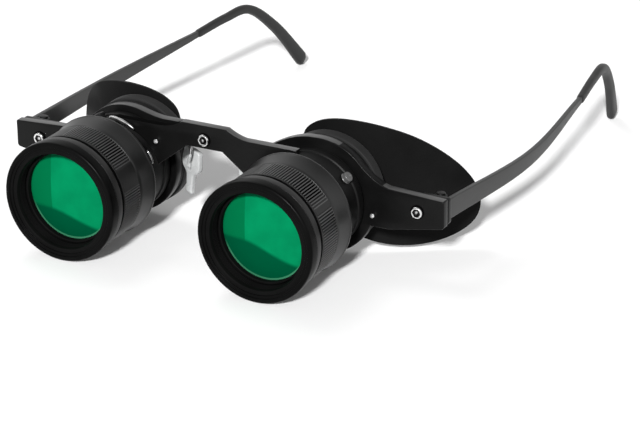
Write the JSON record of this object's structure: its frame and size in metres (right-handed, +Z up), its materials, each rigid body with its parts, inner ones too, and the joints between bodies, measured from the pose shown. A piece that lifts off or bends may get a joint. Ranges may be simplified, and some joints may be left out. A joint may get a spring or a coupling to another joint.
{
  "type": "binocular glasses",
  "caption": "Spectacle frame with short telescopes that focus and slide apart, green objective lenses, soft side shades, nose pads and folding temples.",
  "frame": {"origin": "middle of the bounding box in X and Y, at the height of the temple tips, the lowest points", "axes": "+X to the wearer's left, +Y from the objective lenses towards the wearer's face and along the temples, +Z up"},
  "size_m": [0.1506, 0.2024, 0.0473],
  "materials": {
    "frame_black": "satin",
    "barrel_black": "satin",
    "grip_black": "matte",
    "soft_black": "matte",
    "temple_grey": "satin",
    "sleeve_black": "matte",
    "chrome": "polished",
    "steel": "brushed",
    "lens_green": "coated",
    "eye_glass": "polished",
    "pad_clear": "translucent"
  },
  "bodies": {
    "frame": {"frame_plate": "frame_black", "bridge_plate": "frame_black", "bridge_spacer": "frame_black", "bridge_screw": "chrome", "bridge_set_screw": "chrome", "left_hinge_leaf": "frame_black", "right_hinge_leaf": "frame_black", "left_hinge_pin": "steel", "right_hinge_pin": "steel", "left_end_screw": "chrome", "right_end_screw": "chrome", "left_end_set_screw": "chrome", "right_end_set_screw": "chrome", "left_spacer_screw": "steel", "right_spacer_screw": "steel", "left_pad_arm": "steel", "right_pad_arm": "steel"},
    "left_side_arm": {"left_temple": "temple_grey", "left_temple_sleeve": "sleeve_black"},
    "right_side_arm": {"right_temple": "temple_grey", "right_temple_sleeve": "sleeve_black"},
    "left_barrel": {"left_barrel_shell": "barrel_black", "left_lock_stud": "barrel_black", "left_eyepiece_housing": "barrel_black", "left_eyepiece_lens": "eye_glass", "left_eyepiece_ring": "grip_black", "left_eyecup": "soft_black", "left_side_shade": "soft_black"},
    "right_barrel": {"right_barrel_shell": "barrel_black", "right_lock_stud": "barrel_black", "right_eyepiece_housing": "barrel_black", "right_eyepiece_lens": "eye_glass", "right_eyepiece_ring": "grip_black", "right_eyecup": "soft_black", "right_side_shade": "soft_black"},
    "left_grip": {"left_focus_ring": "grip_black"},
    "right_grip": {"right_focus_ring": "grip_black"},
    "left_objective": {"left_objective_cell": "barrel_black", "left_objective_lens": "lens_green", "left_objective_ring": "grip_black"},
    "right_objective": {"right_objective_cell": "barrel_black", "right_objective_lens": "lens_green", "right_objective_ring": "grip_black"},
    "left_pad": {"left_nose_pad": "pad_clear"},
    "right_pad": {"right_nose_pad": "pad_clear"}
  },
  "joints": [
    {"name": "left_temple_fold", "type": "hinge", "parent": "frame", "child": "left_side_arm", "pos_m": [0.0682, -0.05419, 0.02809], "axis": [0.0558, 0, 0.9984], "range_deg": [0, 70], "deforming": ["left_side_shade"]},
    {"name": "right_temple_fold", "type": "hinge", "parent": "frame", "child": "right_side_arm", "pos_m": [-0.0682, -0.05419, 0.02809], "axis": [-0.0558, 0, -0.9984], "range_deg": [0, 70], "deforming": ["right_side_shade"]},
    {"name": "left_barrel_slide", "type": "slide", "parent": "frame", "child": "left_barrel", "axis": [1, 0, 0], "range_m": [-0.002, 0.002]},
    {"name": "right_barrel_slide", "type": "slide", "parent": "frame", "child": "right_barrel", "axis": [-1, 0, 0], "range_m": [-0.002, 0.002]},
    {"name": "left_focus_turn", "type": "hinge", "parent": "left_barrel", "child": "left_grip", "pos_m": [0.0326, -0.09089, 0.02729], "axis": [0, -1, 0], "range_deg": [0, 300]},
    {"name": "right_focus_turn", "type": "hinge", "parent": "right_barrel", "child": "right_grip", "pos_m": [-0.0326, -0.09089, 0.02729], "axis": [0, -1, 0], "range_deg": [0, 300]},
    {"name": "left_objective_travel", "type": "slide", "parent": "left_barrel", "child": "left_objective", "axis": [0, -1, 0], "range_m": [0, 0.0024]},
    {"name": "right_objective_travel", "type": "slide", "parent": "right_barrel", "child": "right_objective", "axis": [0, -1, 0], "range_m": [0, 0.0024]},
    {"name": "left_pad_swivel", "type": "hinge", "parent": "frame", "child": "left_pad", "pos_m": [0.0103, -0.06159, 0.02969], "axis": [0, 0, 1], "range_deg": [-8, 8]},
    {"name": "right_pad_swivel", "type": "hinge", "parent": "frame", "child": "right_pad", "pos_m": [-0.0103, -0.06159, 0.02969], "axis": [0, 0, 1], "range_deg": [-8, 8]}
  ],
  "couplings": [
    {"joint": "left_objective_travel", "follows": "left_focus_turn", "m_per_rad": 0.00045836},
    {"joint": "right_objective_travel", "follows": "right_focus_turn", "m_per_rad": 0.00045836}
  ]
}
